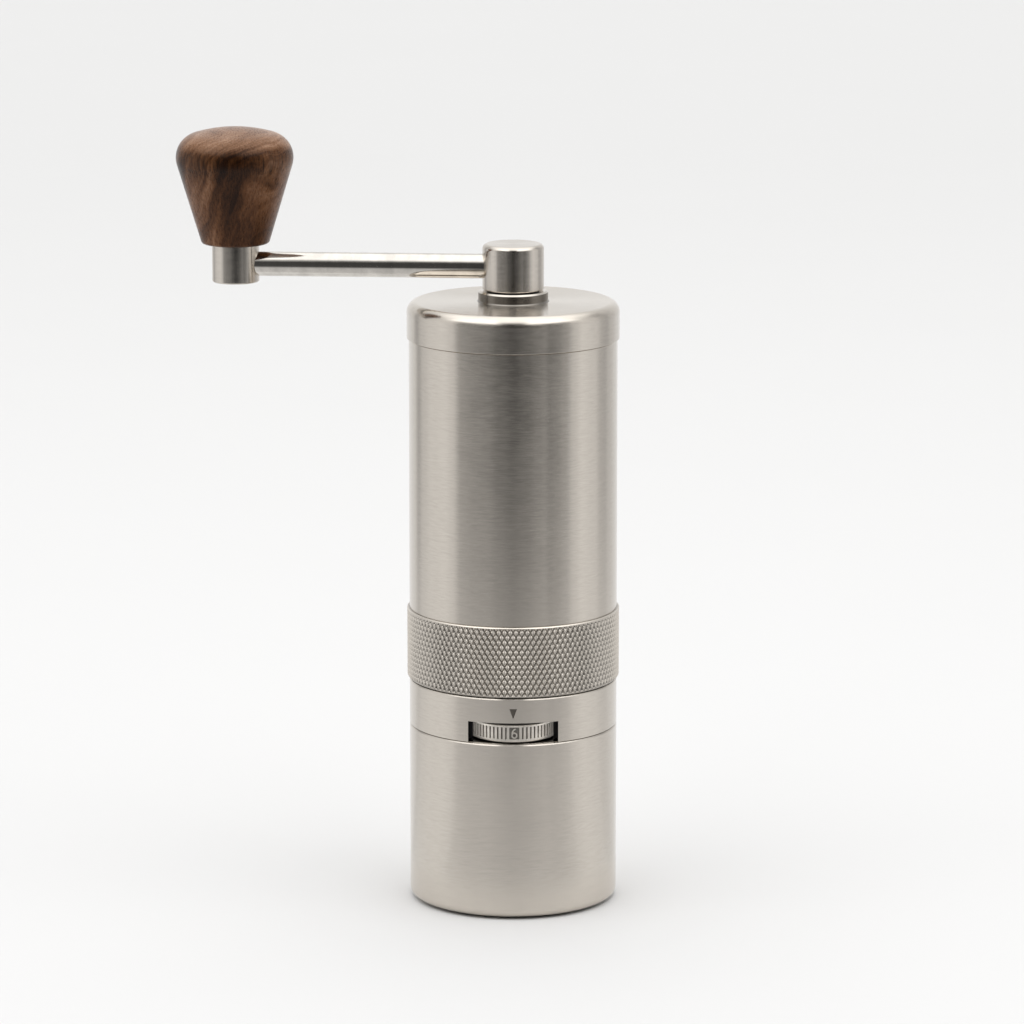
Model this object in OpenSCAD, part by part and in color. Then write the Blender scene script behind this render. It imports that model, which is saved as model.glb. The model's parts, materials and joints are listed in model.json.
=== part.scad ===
// Hand crank coffee grinder: a steel tube with a knurled grip, a lift-off lid
// that carries the crank, a burr set on a central shaft, and a thumbwheel in
// the collar that raises and lowers the shaft through a gear pair.
// Frame: Z up, the table at z = 0, the shaft on the Z axis, the thumbwheel
// window facing -Y. Millimetres.

/* [Body] */
// Outside diameter of the tube, the collar and the catch cup
tube_d = 50.8; // [50.6:0.1:52]
// Wall thickness of the tube and the catch cup
tube_wall = 1.5; // [1.4:0.1:1.5]
// Height of the top end of the tube above the table
tube_top = 139.5; // [138:0.5:150]
// Height of the catch cup's rim above the table
cup_top = 44; // [43.8:0.1:44]
// Height of the collar between the cup and the grip ring
collar_h = 11.2; // [11.1:0.05:11.4]
// Height of the knurled grip ring
grip_h = 17.4; // [16:0.2:20]
// How far the grip ring stands out of the tube
grip_proud = 0.6; // [0.3:0.1:1.5]
// Thickness of the silicone pad under the cup
foot_h = 1; // [0.8:0.1:1.5]

/* [Lid] */
// Height of the lid above the tube
lid_h = 9.1; // [9.1:0.1:9.2]
// How far the lid's side stands out of the tube
lid_proud = 0.5; // [0.2:0.1:1]
// Radius of the lid's rounded top edge
lid_edge_r = 2.5; // [1:0.5:3]
// Outside diameter of the bush in the middle of the lid
bush_d = 17; // [16:0.5:18]
// Height of the bush's collar above the lid
bush_h = 2.6; // [2.4:0.1:2.6]

/* [Crank] */
// Distance from the shaft axis to the knob axis
crank_r = 67.6; // [55:0.1:90]
// Direction of the crank at rest, counted from +X
crank_angle = 176; // [0:1:359]
// Diameter of the crank rod
rod_d = 6; // [5:0.5:6]
// Height of the rod's axis above the table
rod_z = 157; // [157:0.1:157.2]
// Diameter of the hub on the shaft
hub_d = 15; // [14:0.5:18]
// Height of the hub
hub_h = 11.1; // [10.8:0.1:12]
// Diameter of the post under the knob
post_d = 11.5; // [10:0.5:12]

/* [Knob] */
// Diameter of the knob at its widest
knob_d = 28.5; // [24:0.5:32]
// Diameter of the knob at its foot
knob_foot_d = 16.8; // [14:0.2:18]
// Height of the wooden knob
knob_h = 28.3; // [26.1:0.2:32.1]
// Radius of the knob's shoulder
knob_shoulder_r = 6.1; // [4:0.1:8]

/* [Burrs] */
// Outside diameter of the outer burr
burr_d = 38; // [37:0.5:38]
// Radial gap between the burrs at the middle of the adjustment
burr_gap = 0.5; // [0.4:0.05:0.8]

/* [Adjuster] */
// Diameter of the thumbwheel
wheel_d = 21; // [20.6:0.1:21.8]
// Number of ribs around the thumbwheel
wheel_ribs = 64; // [40:4:80]
// Width of the thumbwheel window
window_w = 21.8; // [20:0.1:22]
// Module of the gear pair
gear_module = 0.5; // [0.5]
// Teeth on the pinion of the thumbwheel
pinion_teeth = 26; // [26]
// Teeth on the gear of the adjuster screw
gear_teeth = 32; // [32]

/* [Hidden] */
$fn = 96;
eps = 0.01;
fit = 0.05;        // radial clearance of a running or sliding fit

// radii of the shells
tube_r = tube_d / 2;
bore_r = tube_r - tube_wall;
neck_r = tube_r - 0.5;
grip_r = tube_r + grip_proud;
lid_r = tube_r + lid_proud;
spigot_r = bore_r - fit;

// heights along the body
cup_bottom = foot_h / 2;
cup_floor = cup_bottom + 2;
foot_r = tube_r - 2.4;
collar_bottom = cup_top + fit;
collar_top = collar_bottom + collar_h;
grip_bottom = collar_top + 0.4;
grip_top = grip_bottom + grip_h;
neck_joint = collar_top + 4.6;      // where the collar's neck meets the tube
lid_top = tube_top + lid_h;
bush_top = lid_top + bush_h;
hub_bottom = bush_top + 0.3;
hub_top = hub_bottom + hub_h;
post_bottom = rod_z - 4.4;
post_top = rod_z + 4.8;

// adjuster, from the wheel up to the shaft
wheel_y = -gear_module * (pinion_teeth + gear_teeth) / 2;
wheel_bottom = collar_bottom + 0.4;
wheel_top = wheel_bottom + 4.25;
window_top = collar_bottom + 5.25;
pinion_top = wheel_top + 3.2;
gear_bottom = wheel_top + 1;
gear_top = gear_bottom + 1.4;
bridge_bottom = pinion_top + 0.5;
bridge_top = bridge_bottom + 2;
ledge_top = bridge_top + 2;
ledge_r = 18.5;
collar_bore_r = 22.3;
plug_bore_r = 21;                    // bore of the collar's plug in the cup
plug_h = 6;
axle_r = 2;
screw_r = 4;                         // M8 x 0.75 adjuster thread
screw_top = ledge_top + 0.2;
ball_r = 1.5;
ball_z = screw_top + 0.6;

// shaft and burrs
shaft_r = 4;
shaft_bottom = screw_top + 1.2;
shaft_top = hub_bottom + 0.9;
hex_af = 6;
hex_bottom = lid_top - 8.6;
nut_bottom = shaft_bottom + 0.4;
nut_top = nut_bottom + 3;
inner_bottom = nut_top + 0.6;
inner_top = inner_bottom + 16;
outer_bottom = inner_bottom - 0.8;
outer_top = outer_bottom + 16;
burr_r = burr_d / 2;
mouth_r = 17;                        // outer burr's bore at its lower end
throat_r = 13.4;                     // outer burr's narrowest bore
throat_z = outer_bottom + 7.5;
feed_r = 17.4;                       // outer burr's bore at its upper end
seat_top = inner_top + 1.2;
spring_top = seat_top + 7;
carrier_top = outer_top + 5;
spider_h = 8;
low_spider_z = spring_top - 4;
bearing_r = 8;
bearing_h = 5;
low_bearing_z = spring_top + 1.5;
top_spider_z = tube_top - 17.5;
top_bearing_z = top_spider_z + 1.5;
snap_z = top_spider_z + spider_h;

// knob, from the post up
knob_bottom = post_top + 0.2;
knob_top = knob_bottom + knob_h;
spindle_r = 2.5;
spindle_top = knob_bottom + 17;
insert_r = 4.5;
crank_dir = [cos(crank_angle), sin(crank_angle), 0];

// colours
steel = [0.70, 0.68, 0.65];
bright = [0.82, 0.81, 0.79];
dark_steel = [0.45, 0.45, 0.46];
brass = [0.78, 0.62, 0.30];
rubber = [0.12, 0.12, 0.13];
walnut = [0.30, 0.18, 0.11];
paint = [0.36, 0.33, 0.30];
plastic = [0.20, 0.20, 0.21];

// ---- helpers ----

// A ring or disc of outer radius ro and inner radius ri from z0 to z1.
module ring(ro, ri, z0, z1) {
    translate([0, 0, z0])
        difference() {
            cylinder(r = ro, h = z1 - z0);
            if (ri > 0)
                translate([0, 0, -1])
                    cylinder(r = ri, h = z1 - z0 + 2);
        }
}

// A hexagonal bar of a width across flats from z0 to z1.
module hex_bar(af, z0, z1) {
    translate([0, 0, z0])
        cylinder(r = af / sqrt(3), h = z1 - z0, $fn = 6);
}

// A torus, such as an O-ring: section radius rs at distance rc from the axis.
module torus(rc, rs, z) {
    translate([0, 0, z])
        rotate_extrude()
            translate([rc, 0])
                circle(r = rs, $fn = 24);
}

// An open circlip or snap ring with a gap that faces +Y.
module open_ring(ro, ri, z0, z1, gap) {
    difference() {
        ring(ro, ri, z0, z1);
        translate([-gap / 2, 0, z0 - 1])
            cube([gap, ro + 1, z1 - z0 + 2]);
    }
}

// Points of an arc about [cx, cz], from angle a0 to a1, in steps of about n.
function arc(cx, cz, r, a0, a1, n) =
    [for (i = [0:n]) let (a = a0 + (a1 - a0) * i / n) [cx + r * cos(a), cz + r * sin(a)]];

// Copies at equal angles about the Z axis.
module around(count, start = 0) {
    for (i = [0:count - 1])
        rotate([0, 0, start + 360 * i / count])
            children();
}

// A screw with a cylindrical head below its shank, along +Z.
module cap_screw(head_r, head_h, shank_r, shank_h) {
    difference() {
        union() {
            cylinder(r = head_r, h = head_h);
            cylinder(r = shank_r, h = head_h + shank_h);
        }
        translate([0, 0, -eps])
            cylinder(r = head_r * 0.55, h = head_h * 0.6, $fn = 6);
    }
}

// Involute gear outline. The first tooth points along +X.
tooth_backlash = 0.05;
function involute(base, t) =
    [base * (cos(t) + t * PI / 180 * sin(t)), base * (sin(t) - t * PI / 180 * cos(t))];
function roll_angle(base, r) = sqrt(max(pow(r / base, 2) - 1, 0)) * 180 / PI;
function turn(p, a) = [p[0] * cos(a) - p[1] * sin(a), p[0] * sin(a) + p[1] * cos(a)];
function flank(m, n, steps) =
    let (rp = m * n / 2, base = rp * cos(20), root = rp - 1.25 * m, tip = rp + m,
         t_pitch = roll_angle(base, rp),
         at_pitch = atan2(involute(base, t_pitch)[1], involute(base, t_pitch)[0]),
         half = 90 / n - tooth_backlash / 2 / rp * 180 / PI,
         t0 = roll_angle(base, max(base, root)), t1 = roll_angle(base, tip))
    concat(
        root < base ? [turn([root, 0], -half - at_pitch)] : [],
        [for (i = [0:steps]) turn(involute(base, t0 + (t1 - t0) * i / steps), -half - at_pitch)]);
function tooth(m, n) =
    let (side = flank(m, n, 4), last = len(side) - 1)
    concat(side, [for (i = [0:last]) [side[last - i][0], -side[last - i][1]]]);
function gear_outline(m, n) =
    [for (i = [0:n - 1]) each [for (p = tooth(m, n)) turn(p, 360 * i / n)]];

module gear(m, n, z0, z1, hole_r) {
    translate([0, 0, z0])
        difference() {
            linear_extrude(z1 - z0)
                polygon(gear_outline(m, n));
            translate([0, 0, -1])
                cylinder(r = hole_r, h = z1 - z0 + 2);
        }
}

// ---- catch cup ----

module catch_cup() {
    edge = 1.8;
    color(steel)
        difference() {
            rotate_extrude()
                polygon(concat(
                    [[0, cup_bottom]],
                    arc(tube_r - edge, cup_bottom + edge, edge, -90, 0, 8),
                    [[tube_r, cup_top - 0.28], [tube_r - 0.28, cup_top], [bore_r, cup_top]],
                    arc(bore_r - edge, cup_floor + edge, edge, 0, -90, 8),
                    [[0, cup_floor]]));
            translate([0, 0, -1])
                cylinder(r = foot_r, h = 1 + foot_h);
        }
}

module cup_foot() {
    color(rubber)
        rotate_extrude()
            polygon([[0, 0], [foot_r - 0.4, 0], [foot_r, 0.4], [foot_r, foot_h], [0, foot_h]]);
}

// ---- collar, grip and tube ----

module collar() {
    color(steel)
        difference() {
            rotate_extrude()
                polygon([
                    [plug_bore_r, collar_bottom - plug_h], [spigot_r - 0.4, collar_bottom - plug_h],
                    [spigot_r, collar_bottom - plug_h + 0.4], [spigot_r, collar_bottom],
                    [tube_r - 0.2, collar_bottom], [tube_r, collar_bottom + 0.2],
                    [tube_r, collar_top - 0.28], [tube_r - 0.28, collar_top],
                    [neck_r - 0.5, collar_top], [neck_r - 0.5, grip_bottom],
                    [neck_r, grip_bottom], [neck_r, neck_joint],
                    [bore_r, neck_joint], [bore_r, ledge_top], [ledge_r, ledge_top],
                    [ledge_r, bridge_top], [collar_bore_r, bridge_top],
                    [collar_bore_r, collar_bottom], [plug_bore_r, collar_bottom]]);
            window();
            ring(spigot_r + 1, spigot_r - 1.2, collar_bottom - 4.05, collar_bottom - 2.45);
            pointer(-tube_r - 1, -tube_r + 0.3);
            for (side = [-1, 1])
                translate([side * 20.4, 0, bridge_top - 1])
                    cylinder(r = 1, h = 2.6);
        }
}

// The window that the thumbwheel shows through, open to the cup's rim.
module window() {
    translate([-window_w / 2, -tube_r - 1, collar_bottom])
        cube([window_w, tube_r + 1 + wheel_y, window_top - collar_bottom]);
}

// The pointer above the window: a prism from y_front back to y_back.
module pointer(y_front, y_back) {
    half = 0.9;
    top = window_top + 3.55;
    tip = window_top + 1.05;
    translate([0, y_back, 0])
        rotate([90, 0, 0])
            linear_extrude(y_back - y_front)
                polygon([[-half, top], [half, top], [0, tip]]);
}

module index_mark() {
    color(paint)
        pointer(-tube_r + 0.1, -tube_r + 0.3);
}

module cup_seal() {
    color(rubber)
        torus(spigot_r - 0.6, 0.6, collar_bottom - 3.25);
}

module grip_ring() {
    edge = 0.5;
    color(steel)
        rotate_extrude()
            polygon([
                [neck_r, grip_bottom], [grip_r - edge, grip_bottom],
                [grip_r, grip_bottom + edge], [grip_r, grip_top - 0.35],
                [grip_r - 0.35, grip_top], [neck_r, grip_top]]);
}

module body_tube() {
    color(steel)
        difference() {
            union() {
                ring(neck_r, bore_r, neck_joint, grip_top + eps);
                ring(tube_r, bore_r, grip_top, tube_top);
            }
            ring(bore_r + 0.5, 20, snap_z, snap_z + 1.2);
        }
}

// ---- thumbwheel ----

module on_wheel_axis() {
    translate([0, wheel_y, 0])
        children();
}

module adjust_wheel() {
    r = wheel_d / 2;
    rib = r - 0.03;
    root = r - 0.35;
    step = 360 / wheel_ribs;
    bevel = 0.4;
    slot_bottom = wheel_bottom + 0.7;
    slot_top = wheel_top - 0.6;
    color(bright)
        on_wheel_axis()
            difference() {
                union() {
                    translate([0, 0, slot_bottom])
                        linear_extrude(slot_top - slot_bottom)
                            polygon([for (i = [0:wheel_ribs - 1]) each [
                                for (p = [[-0.40, root], [-0.32, rib], [0.32, rib], [0.40, root]])
                                    [p[1] * cos((i + p[0]) * step), p[1] * sin((i + p[0]) * step)]]]);
                    rotate_extrude()
                        polygon([[0, wheel_bottom], [r - bevel, wheel_bottom],
                                 [r, wheel_bottom + bevel], [r, slot_bottom],
                                 [root - 0.1, slot_bottom], [root - 0.1, slot_top],
                                 [r, slot_top], [r, wheel_top - bevel],
                                 [r - bevel, wheel_top], [0, wheel_top]]);
                }
                translate([0, 0, wheel_bottom - 1])
                    cylinder(r = axle_r + 1.2, h = wheel_top - wheel_bottom + 2);
                ring(8.4, 6.6, wheel_bottom - 1, wheel_bottom + 0.5);
            }
}

module wheel_pinion() {
    color(brass)
        on_wheel_axis()
            gear(gear_module, pinion_teeth, wheel_top, pinion_top, axle_r + 1.2);
}

module wheel_bush() {
    color(brass)
        on_wheel_axis()
            ring(axle_r + 1.2, axle_r + fit, wheel_bottom, pinion_top);
}

// Shoulder screw: its head holds the gear case, its shoulder carries the wheel.
module wheel_axle() {
    color(dark_steel)
        on_wheel_axis()
            difference() {
                union() {
                    ring(3.4, 0, collar_bottom - 1.85, collar_bottom - 0.85);
                    ring(axle_r, 0, collar_bottom - 0.85, bridge_bottom);
                    ring(1.5, 0, collar_bottom - 0.85, bridge_top);
                }
                hex_bar(2.5, collar_bottom - 2, collar_bottom - 1.2);
            }
}

module wheel_washer() {
    color(brass)
        on_wheel_axis()
            ring(3.6, axle_r, collar_bottom - 0.05, wheel_bottom - fit);
}

// Spring plunger in the gear case; its nose rides in the wheel's groove.
module detent_plunger() {
    color(bright)
        translate([0, wheel_y + 7.5, 0]) {
            ring(1.2, 0, collar_bottom - 0.85, collar_bottom + 0.1);
            ring(0.6, 0, collar_bottom, wheel_bottom + 0.3);
        }
}

// ---- gear case, bridge and adjuster ----

module case_outline(grow) {
    on_wheel_axis()
        circle(r = wheel_d / 2 + 0.7 + grow);
    circle(r = gear_module * (gear_teeth / 2 + 1) + 0.5 + grow);
    translate([0, 11.5])
        circle(r = 1.7 + grow);
}

module gear_case() {
    wall = 0.8;
    floor_bottom = collar_bottom - 0.85;
    floor_top = collar_bottom - 0.05;
    color(plastic)
        difference() {
            union() {
                intersection() {
                    translate([0, 0, floor_bottom])
                        linear_extrude(bridge_bottom - floor_bottom)
                            case_outline(wall);
                    ring(collar_bore_r - 0.05, 0, collar_bottom + 0.1, bridge_bottom);
                }
                intersection() {
                    translate([0, 0, floor_bottom])
                        linear_extrude(floor_top - floor_bottom + 0.2)
                            case_outline(wall);
                    ring(plug_bore_r - 0.05, 0, floor_bottom, collar_bottom + 0.1);
                }
            }
            difference() {
                translate([0, 0, floor_top])
                    linear_extrude(bridge_bottom)
                        case_outline(0);
                translate([0, 11.5, floor_top - 1])
                    cylinder(r = 1.7, h = bridge_bottom - floor_top + 1);
            }
            translate([0, wheel_y, floor_bottom - 1])
                cylinder(r = axle_r, h = 3);
            translate([0, 11.5, floor_bottom - 1])
                cylinder(r = 1, h = bridge_top);
            translate([0, wheel_y + 7.5, floor_bottom - 1])
                cylinder(r = 1.2, h = 3);
        }
}

module case_screw() {
    color(dark_steel)
        translate([0, 11.5, collar_bottom - 2.05])
            cap_screw(1.6, 1.2, 1, bridge_top - collar_bottom + 0.85);
}

module bridge() {
    arm = 8;
    reach = collar_bore_r - 0.1;
    color(dark_steel)
        difference() {
            translate([0, 0, bridge_bottom])
                linear_extrude(bridge_top - bridge_bottom)
                    difference() {
                        union() {
                            circle(r = 7.5);
                            intersection() {
                                square([2 * reach, arm], center = true);
                                circle(r = reach);
                            }
                            translate([-arm / 2, wheel_y])
                                square([arm, -wheel_y]);
                            translate([0, wheel_y])
                                circle(r = arm / 2);
                            translate([-2.5, 0])
                                square([5, 11.5]);
                            translate([0, 11.5])
                                circle(r = 2.5);
                        }
                    }
            translate([0, 0, bridge_bottom - 1])
                cylinder(r = screw_r + fit, h = 4);
            translate([0, wheel_y, bridge_bottom - 1])
                cylinder(r = 1.5, h = 4);
            translate([0, 11.5, bridge_bottom - 1])
                cylinder(r = 1, h = 4);
            for (side = [-1, 1])
                translate([side * 20.4, 0, bridge_bottom - 1])
                    cylinder(r = 1, h = 4);
        }
}

module bridge_screws() {
    color(dark_steel)
        for (side = [-1, 1])
            translate([side * 20.4, 0, bridge_bottom - 1.2])
                cap_screw(1.8, 1.2, 1, 3.5);
}

module adjuster_screw() {
    color(bright)
        difference() {
            union() {
                ring(5.2, 0, gear_bottom - 0.4, gear_bottom);
                ring(screw_r, 0, gear_bottom - 0.4, screw_top);
            }
            translate([0, 0, ball_z])
                sphere(r = ball_r + 0.02);
            hex_bar(3, gear_bottom - 1, gear_bottom + 1.5);
        }
}

module adjuster_gear() {
    color(brass)
        gear(gear_module, gear_teeth, gear_bottom, gear_top, screw_r);
}

module thrust_ball() {
    color(bright)
        translate([0, 0, ball_z])
            sphere(r = ball_r);
}

// ---- burrs ----

module burr_carrier() {
    color(dark_steel)
        difference() {
            rotate_extrude()
                polygon([
                    [22.2, ledge_top], [bore_r, ledge_top], [bore_r, carrier_top],
                    [bore_r - 0.9, carrier_top], [17.6, outer_top + 1], [17.6, outer_top],
                    [burr_r, outer_top], [burr_r, outer_bottom], [22.2, outer_bottom]]);
            around(3, 90)
                translate([20.6, 0, outer_bottom - 1])
                    cylinder(r = 1, h = 6);
        }
}

module outer_burr() {
    slots = 24;
    color(dark_steel)
        difference() {
            rotate_extrude()
                polygon([
                    [mouth_r, outer_bottom], [burr_r, outer_bottom], [burr_r, outer_top],
                    [feed_r, outer_top], [throat_r, throat_z]]);
            around(slots)
                translate([throat_r - 1, -0.5, throat_z + 1])
                    rotate([0, 24, 0])
                        cube([2.2, 1, 12]);
        }
}

module clamp_ring() {
    color(steel)
        difference() {
            ring(22.1, 17.4, outer_bottom - 1.6, outer_bottom);
            around(3, 90)
                translate([20.6, 0, outer_bottom - 3])
                    cylinder(r = 1, h = 4);
        }
}

module clamp_screws() {
    color(bright)
        around(3, 90)
            translate([20.6, 0, outer_bottom - 2.8])
                cap_screw(1.5, 1.2, 1, 6.2);
}

module inner_burr() {
    slope = (mouth_r - throat_r) / (throat_z - outer_bottom);
    low_r = mouth_r - slope * (inner_bottom - outer_bottom) - burr_gap;
    mid_r = throat_r - burr_gap;
    top_r = 7.2;
    slots = 7;
    color(dark_steel)
        difference() {
            rotate_extrude()
                polygon([
                    [shaft_r, inner_bottom], [low_r, inner_bottom], [mid_r, throat_z],
                    [top_r, inner_top], [shaft_r, inner_top]]);
            around(slots)
                translate([6.6, -1.6, throat_z + 0.5])
                    rotate([0, -30, -18])
                        translate([2.2, 0, -3])
                            cube([6, 3.2, 20]);
            around(5 * slots)
                translate([low_r - 0.75, -0.35, inner_bottom - 1])
                    rotate([0, -atan(slope), 0])
                        cube([3, 0.7, 8]);
        }
}

// ---- shaft ----

module drive_shaft() {
    color(bright)
        difference() {
            union() {
                ring(shaft_r, 0, shaft_bottom, hex_bottom);
                intersection() {
                    hex_bar(hex_af, hex_bottom - eps, shaft_top);
                    ring(shaft_r, 0, hex_bottom - eps, shaft_top);
                }
            }
            translate([0, 0, ball_z])
                sphere(r = ball_r + 0.02);
            ring(shaft_r + 1, shaft_r - 0.4, snap_z - 0.4, snap_z + 0.4);
        }
}

module shaft_circlip() {
    color(dark_steel)
        open_ring(shaft_r + 1.6, shaft_r - 0.4, snap_z - 0.4, snap_z + 0.4, 3);
}

module burr_nut() {
    color(bright)
        difference() {
            hex_bar(12, nut_bottom, nut_top);
            ring(shaft_r, 0, nut_bottom - 1, nut_top + 1);
        }
}

module burr_washer() {
    color(bright)
        ring(7.4, shaft_r, nut_top, inner_bottom);
}

module spring_seat() {
    color(brass)
        ring(7, shaft_r, inner_top, seat_top);
}

// Compression spring between the seat and the lower spider: a swept coil with
// flat ground ends.
spring_wire_r = 0.5;
spring_coil_r = 5.3;
spring_turns = 4;
function coil_point(t, a) =
    let (span = spring_top - seat_top - 2 * spring_wire_r,
         z = seat_top + spring_wire_r + span * t, turn_a = 360 * spring_turns * t,
         r = spring_coil_r + spring_wire_r * cos(a))
    [r * cos(turn_a), r * sin(turn_a), z + spring_wire_r * sin(a)];

module preload_spring() {
    rings = 80;
    sides = 8;
    points = [for (i = [0:rings]) for (j = [0:sides - 1]) coil_point(i / rings, 360 * j / sides)];
    skin = [for (i = [0:rings - 1]) for (j = [0:sides - 1])
        [i * sides + j, i * sides + (j + 1) % sides,
         (i + 1) * sides + (j + 1) % sides, (i + 1) * sides + j]];
    color(bright)
        polyhedron(points, concat(skin,
            [[for (j = [0:sides - 1]) sides - 1 - j]],
            [[for (j = [0:sides - 1]) rings * sides + j]]));
}

// ---- bearing spiders ----

// A ring in the tube, three arms and a hub with a pocket for a ball bearing.
module spider(z0, pocket_z) {
    hub_r = bearing_r + 2;
    arm_z = z0 + 4;
    color(plastic)
        difference() {
            union() {
                ring(bore_r, bore_r - 1.2, z0, z0 + spider_h);
                ring(hub_r, 0, pocket_z - 1.5, pocket_z + bearing_h + 0.5);
                around(3, 30)
                    translate([hub_r - 1, -1.5, max(arm_z, pocket_z - 1.5)])
                        cube([bore_r - hub_r + 0.4, 3, 4]);
            }
            ring(bearing_r, 0, pocket_z, pocket_z + bearing_h + 1);
            ring(4.8, 0, z0 - 1, z0 + 20);
        }
}

// A shielded deep groove ball bearing, 8 x 16 x 5.
module bearing(z0) {
    bore = shaft_r + fit;
    color(bright)
        rotate_extrude()
            polygon([
                [bore, z0 + 0.2], [bore + 0.2, z0], [5.4, z0], [5.4, z0 + 0.25],
                [6.8, z0 + 0.25], [6.8, z0], [bearing_r - 0.2, z0], [bearing_r, z0 + 0.2],
                [bearing_r, z0 + bearing_h - 0.2], [bearing_r - 0.2, z0 + bearing_h],
                [6.8, z0 + bearing_h], [6.8, z0 + bearing_h - 0.25],
                [5.4, z0 + bearing_h - 0.25], [5.4, z0 + bearing_h],
                [bore + 0.2, z0 + bearing_h], [bore, z0 + bearing_h - 0.2]]);
}

module lower_spider() {
    spider(low_spider_z, low_bearing_z);
}

module lower_bearing() {
    bearing(low_bearing_z);
}

module upper_spider() {
    spider(top_spider_z, top_bearing_z);
}

module upper_bearing() {
    bearing(top_bearing_z);
}

module spider_snap_ring() {
    color(dark_steel)
        open_ring(bore_r + 0.5, bore_r - 1, snap_z, snap_z + 1.2, 6);
}

// ---- lid ----

module lid_shell() {
    plug_bottom = tube_top - 6;
    plate = lid_top - 2.5;
    color(steel)
        difference() {
            rotate_extrude()
                polygon(concat(
                    [[6.8, lid_top]],
                    arc(lid_r - lid_edge_r, lid_top - lid_edge_r, lid_edge_r, 90, 0, 10),
                    [[lid_r, tube_top + 0.2], [lid_r - 0.2, tube_top], [spigot_r, tube_top],
                     [spigot_r, plug_bottom + 0.4], [spigot_r - 0.4, plug_bottom],
                     [21.4, plug_bottom], [21.4, plate], [6.8, plate]]));
            ring(spigot_r + 1, spigot_r - 1.2, plug_bottom + 2, plug_bottom + 3.6);
        }
}

module lid_seal() {
    color(rubber)
        torus(spigot_r - 0.6, 0.6, tube_top - 3.2);
}

module lid_bush() {
    r = bush_d / 2;
    color(steel)
        rotate_extrude()
            polygon([
                [5 + fit, lid_top - 5.6], [6.8, lid_top - 5.6], [6.8, lid_top],
                [r - 0.25, lid_top], [r, lid_top + 0.25],
                [r, bush_top - 0.6], [r - 0.6, bush_top], [5 + fit, bush_top]]);
}

module bush_nut() {
    color(bright)
        difference() {
            hex_bar(16, lid_top - 5, lid_top - 2.5);
            ring(6.8, 0, lid_top - 6, lid_top);
        }
}

// ---- crank ----

module crank_hub() {
    r = hub_d / 2;
    stem_bottom = lid_top - 7.2;
    edge = 1.2;
    color(steel)
        difference() {
            rotate_extrude()
                polygon(concat(
                    [[0, stem_bottom], [5, stem_bottom], [5, hub_bottom], [r - 0.3, hub_bottom],
                     [r, hub_bottom + 0.3]],
                    arc(r - edge, hub_top - edge, edge, 0, 90, 8),
                    [[0, hub_top]]));
            hex_bar(hex_af + 0.2, stem_bottom - 1, shaft_top + 0.6);
            ring(6, 4.5, lid_top - 6.6, lid_top - 5.8);
            rod_space();
        }
}

// The rod's own cylinder, which also cuts its bores in the hub and the post.
module rod_space() {
    inner_end = -4.5;
    outer_end = crank_r + 2;
    rotate([0, 0, crank_angle])
        translate([inner_end, 0, rod_z])
            rotate([0, 90, 0])
                cylinder(r = rod_d / 2, h = outer_end - inner_end);
}

module crank_rod() {
    color(bright)
        rod_space();
}

module hub_washer() {
    color(plastic)
        ring(6.4, 5 + fit, bush_top, hub_bottom);
}

module hub_circlip() {
    color(dark_steel)
        open_ring(7, 4.5, lid_top - 6.6, lid_top - 5.8, 4);
}

module on_knob_axis() {
    translate(crank_r * crank_dir)
        children();
}

// Post and knob spindle, turned from one bar.
module crank_post() {
    r = post_d / 2;
    edge = 0.4;
    color(steel)
        difference() {
            on_knob_axis()
                difference() {
                    rotate_extrude()
                        polygon(concat(
                            [[0, post_bottom]],
                            arc(r - edge, post_bottom + edge, edge, -90, 0, 6),
                            [[r, post_top - 0.2], [r - 0.2, post_top], [spindle_r, post_top],
                             [spindle_r, spindle_top - 0.3], [spindle_r - 0.3, spindle_top],
                             [0, spindle_top]]));
                    ring(4, spindle_r - 0.4, spindle_top - 2, spindle_top - 1.2);
                }
            rod_space();
        }
}

// ---- knob ----

module knob_washer() {
    color(plastic)
        on_knob_axis()
            ring(insert_r - 0.2, spindle_r + fit, post_top, knob_bottom + 0.3);
}

module knob_insert() {
    color(brass)
        on_knob_axis()
            difference() {
                ring(insert_r, spindle_r + fit, knob_bottom + 0.4, spindle_top + 1);
                ring(3.6, 0, spindle_top - 2.1, spindle_top - 1.1);
            }
}

module knob_snap_ring() {
    color(dark_steel)
        on_knob_axis()
            open_ring(3.3, spindle_r - 0.4, spindle_top - 2, spindle_top - 1.2, 2);
}

// Turned knob: a rounded foot, a cone, a big shoulder and a low crown.
module wood_knob() {
    r = knob_d / 2;
    base_r = knob_foot_d / 2;
    shoulder_z = knob_top - knob_shoulder_r - 1.2;
    crown_from = 79;
    cone_to = -18;
    foot_edge = 0.9;
    color(walnut)
        on_knob_axis()
            rotate_extrude()
                polygon(concat(
                    [[insert_r, knob_bottom]],
                    arc(base_r - foot_edge, knob_bottom + foot_edge, foot_edge, -90, cone_to, 5),
                    arc(r - knob_shoulder_r, shoulder_z, knob_shoulder_r, cone_to, crown_from, 16),
                    [for (s = [0.85, 0.7, 0.5, 0.25, 0])
                        let (edge_r = r - knob_shoulder_r * (1 - cos(crown_from)),
                             edge_z = shoulder_z + knob_shoulder_r * sin(crown_from))
                        [edge_r * s, knob_top - (knob_top - edge_z) * s * s]],
                    [[0, spindle_top + 2], [insert_r, spindle_top + 2]]));
}

// ---- the assembly ----

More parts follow.
